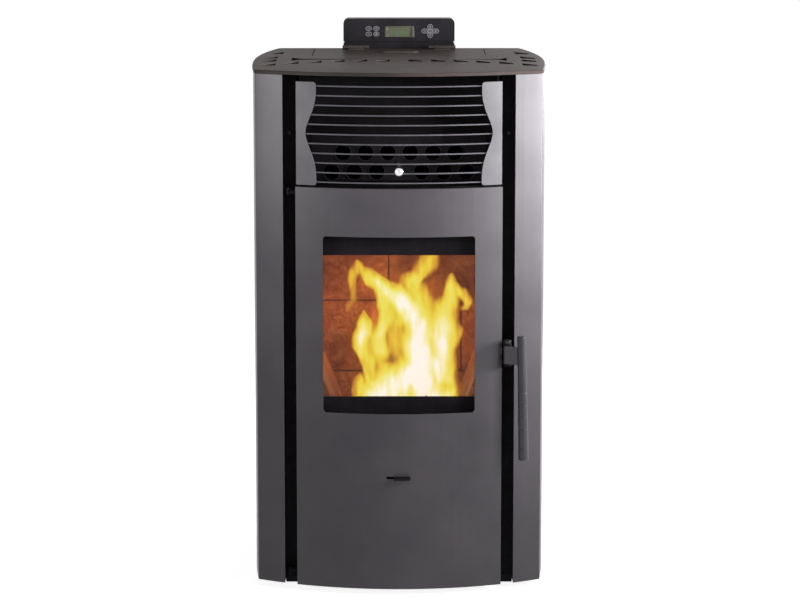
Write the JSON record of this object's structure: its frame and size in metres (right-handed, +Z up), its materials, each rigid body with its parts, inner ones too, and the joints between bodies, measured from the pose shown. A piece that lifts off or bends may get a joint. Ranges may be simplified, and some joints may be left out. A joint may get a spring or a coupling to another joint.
{
  "type": "pellet stove",
  "caption": "Free-standing pellet stove with a bowed windowed door, a side grip, an air grille above it, a rear hopper with a lid and a raised control panel.",
  "frame": {"origin": "centre of the overall box at floor level, under the stove", "axes": "+X to the right seen from the front, +Y from the door towards the rear panel, +Z up"},
  "size_m": [0.518, 0.5964, 0.966],
  "materials": {
    "casing_paint": "anthracite textured powder coat",
    "grille_paint": "anthracite textured powder coat, a shade lighter",
    "black_steel": "matt black heat-proof paint",
    "firebrick": "pressed vermiculite board",
    "cast_iron": "rough cast",
    "zinc_steel": "zinc-coated sheet",
    "chrome": "polished",
    "glass": "clear fire-proof glass ceramic",
    "rope": "woven glass-fibre rope",
    "console_plastic": "glossy dark moulding",
    "bezel_plastic": "satin moulding",
    "screen_film": "liquid crystal panel",
    "key_plastic": "moulded keys",
    "motor_metal": "die-cast",
    "electric_plastic": "moulded",
    "screw_steel": "blackened",
    "rubber_foot": "moulded rubber pad"
  },
  "bodies": {
    "stove": {"air_inlet_pipe": "black_steel", "ash_pan": "black_steel", "auger_gearmotor": "motor_metal", "auger_tube": "black_steel", "baffle_plate": "firebrick", "base_tray": "black_steel", "blower_housing": "black_steel", "blower_motor": "motor_metal", "console_fascia": "console_plastic", "console_housing": "console_plastic", "control_board": "electric_plastic", "exchanger_tubes": "black_steel", "fasteners": "screw_steel", "firebox": "black_steel", "firebrick_lining": "firebrick", "front_posts": "black_steel", "grille_bars": "grille_paint", "grille_side_plates": "grille_paint", "hinge_brackets": "black_steel", "hopper": "zinc_steel", "igniter": "zinc_steel", "left_side_panel": "casing_paint", "levelling_feet": "rubber_foot", "lid_gasket": "rope", "lid_hinges": "zinc_steel", "outlet_duct": "black_steel", "power_inlet": "electric_plastic", "rear_air_duct": "zinc_steel", "rear_panel": "black_steel", "right_side_panel": "casing_paint", "room_fan_housing": "zinc_steel", "screen": "screen_film", "screen_bezel": "bezel_plastic", "top_plate": "casing_paint"},
    "door": {"door_skin": "casing_paint", "door_frame": "black_steel", "door_glass": "glass", "door_gaskets": "rope", "glass_clips": "zinc_steel", "handle_pin": "screw_steel"},
    "damper": {"damper_slider": "black_steel"},
    "handle": {"handle_lever": "black_steel", "handle_grip": "casing_paint"},
    "lid": {"hopper_lid": "casing_paint"},
    "scraper_body": {"scraper": "zinc_steel", "scraper_knob": "chrome"},
    "auger": {"auger_screw": "zinc_steel"},
    "exhaust_wheel": {"blower_wheel": "zinc_steel"},
    "room_wheel": {"room_fan_wheel": "zinc_steel"},
    "rocker": {"rocker_switch": "electric_plastic"},
    "pot": {"burn_pot": "cast_iron"},
    "round_key_1_body": {"round_key_1": "key_plastic"},
    "round_key_2_body": {"round_key_2": "key_plastic"},
    "round_key_3_body": {"round_key_3": "key_plastic"},
    "round_key_4_body": {"round_key_4": "key_plastic"},
    "up_key_body": {"up_key": "key_plastic"},
    "down_key_body": {"down_key": "key_plastic"},
    "minus_key_body": {"minus_key": "key_plastic"},
    "plus_key_body": {"plus_key": "key_plastic"},
    "centre_key_body": {"centre_key": "key_plastic"}
  },
  "joints": [
    {"name": "door_hinge", "type": "hinge", "parent": "stove", "child": "door", "pos_m": [-0.19, -0.21875, 0.36], "axis": [0, 0, -1], "range_deg": [0, 95]},
    {"name": "handle_pivot", "type": "hinge", "parent": "door", "child": "handle", "pos_m": [0.187, -0.246, 0.42], "axis": [0, 0, -1], "range_deg": [0, 18]},
    {"name": "damper_slide", "type": "slide", "parent": "door", "child": "damper", "axis": [-1, 0, 0], "range_m": [0, 0.0125]},
    {"name": "lid_hinge", "type": "hinge", "parent": "stove", "child": "lid", "pos_m": [0, 0.2255, 0.9136], "axis": [-1, 0, 0], "range_deg": [0, 95]},
    {"name": "scraper_pull", "type": "slide", "parent": "stove", "child": "scraper_body", "axis": [0, -1, 0], "range_m": [0, 0.09]},
    {"name": "burn_pot_lift", "type": "slide", "parent": "stove", "child": "pot", "axis": [0, 0, 1], "range_m": [0, 0.06]},
    {"name": "auger_spin", "type": "hinge", "parent": "stove", "child": "auger", "pos_m": [0, 0.175, 0.315], "axis": [0, -0.7071, 0.7071], "continuous": true},
    {"name": "exhaust_wheel_spin", "type": "hinge", "parent": "stove", "child": "exhaust_wheel", "pos_m": [-0.121, 0.12, 0.165], "axis": [1, 0, 0], "continuous": true},
    {"name": "room_wheel_spin", "type": "hinge", "parent": "stove", "child": "room_wheel", "pos_m": [0.06, 0.18, 0.096], "axis": [1, 0, 0], "continuous": true},
    {"name": "rocker_tilt", "type": "hinge", "parent": "stove", "child": "rocker", "pos_m": [0.188, 0.24425, 0.075], "axis": [1, 0, 0], "range_deg": [-8, 8]},
    {"name": "round_key_1_press", "type": "slide", "parent": "stove", "child": "round_key_1_body", "axis": [0, 1, 0], "range_m": [0, 0.0008], "stiffness_N_per_m": 600, "springref_m": -0.0008},
    {"name": "round_key_2_press", "type": "slide", "parent": "stove", "child": "round_key_2_body", "axis": [0, 1, 0], "range_m": [0, 0.0008], "stiffness_N_per_m": 600, "springref_m": -0.0008},
    {"name": "round_key_3_press", "type": "slide", "parent": "stove", "child": "round_key_3_body", "axis": [0, 1, 0], "range_m": [0, 0.0008], "stiffness_N_per_m": 600, "springref_m": -0.0008},
    {"name": "round_key_4_press", "type": "slide", "parent": "stove", "child": "round_key_4_body", "axis": [0, 1, 0], "range_m": [0, 0.0008], "stiffness_N_per_m": 600, "springref_m": -0.0008},
    {"name": "up_key_press", "type": "slide", "parent": "stove", "child": "up_key_body", "axis": [0, 1, 0], "range_m": [0, 0.0008], "stiffness_N_per_m": 600, "springref_m": -0.0008},
    {"name": "down_key_press", "type": "slide", "parent": "stove", "child": "down_key_body", "axis": [0, 1, 0], "range_m": [0, 0.0008], "stiffness_N_per_m": 600, "springref_m": -0.0008},
    {"name": "minus_key_press", "type": "slide", "parent": "stove", "child": "minus_key_body", "axis": [0, 1, 0], "range_m": [0, 0.0008], "stiffness_N_per_m": 600, "springref_m": -0.0008},
    {"name": "plus_key_press", "type": "slide", "parent": "stove", "child": "plus_key_body", "axis": [0, 1, 0], "range_m": [0, 0.0008], "stiffness_N_per_m": 600, "springref_m": -0.0008},
    {"name": "centre_key_press", "type": "slide", "parent": "stove", "child": "centre_key_body", "axis": [0, 1, 0], "range_m": [0, 0.0008], "stiffness_N_per_m": 600, "springref_m": -0.0008}
  ]
}
